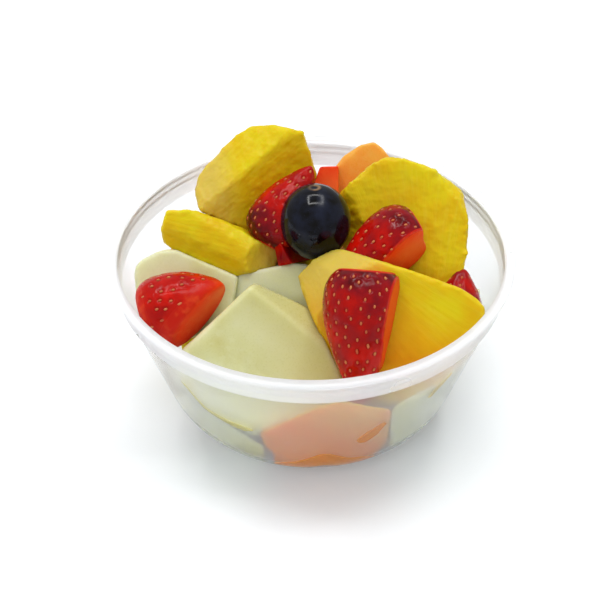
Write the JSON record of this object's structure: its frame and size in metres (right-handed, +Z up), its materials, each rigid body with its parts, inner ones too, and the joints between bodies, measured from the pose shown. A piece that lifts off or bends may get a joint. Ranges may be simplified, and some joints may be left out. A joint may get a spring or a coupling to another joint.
{
  "type": "fruit salad",
  "caption": "Round clear plastic bowl with a rolled lip, heaped with cut pineapple, honeydew, cantaloupe and strawberries and topped with a dark grape.",
  "frame": {"origin": "centre of the bowl's foot, on the surface it stands on", "axes": "+Z up out of the bowl, -Y towards the side that is seen, +X to its right"},
  "size_m": [0.1462, 0.1462, 0.1],
  "materials": {
    "bowl_plastic": "milky clear, smooth and slightly hazy",
    "pineapple": "wet cut fruit with fine fibres",
    "honeydew": "wet cut fruit, smooth",
    "cantaloupe": "wet cut fruit, smooth",
    "strawberry": "glossy skin with sunk seeds, matt cut face",
    "grape": "dark glossy skin with a thin bloom"
  },
  "bodies": {
    "root": {"bowl": "bowl_plastic", "pineapple_back_left": "pineapple", "pineapple_left": "pineapple", "pineapple_back_right": "pineapple", "pineapple_front_right": "pineapple", "pineapple_bottom_left": "pineapple", "pineapple_bottom_right": "pineapple", "pineapple_middle": "pineapple", "honeydew_front": "honeydew", "honeydew_middle": "honeydew", "honeydew_left": "honeydew", "honeydew_front_left": "honeydew", "honeydew_front_right": "honeydew", "honeydew_back_left": "honeydew", "honeydew_right": "honeydew", "honeydew_middle_right": "honeydew", "honeydew_back": "honeydew", "cantaloupe_top": "cantaloupe", "cantaloupe_front": "cantaloupe", "cantaloupe_middle": "cantaloupe", "cantaloupe_back_right": "cantaloupe", "cantaloupe_left": "cantaloupe", "cantaloupe_back_left": "cantaloupe", "strawberry_top": "strawberry", "strawberry_right": "strawberry", "strawberry_front": "strawberry", "strawberry_left": "strawberry", "strawberry_edge": "strawberry", "strawberry_back": "strawberry", "strawberry_under_grape": "strawberry", "strawberry_bottom": "strawberry", "strawberry_back_rim": "strawberry", "grape": "grape"}
  },
  "joints": []
}
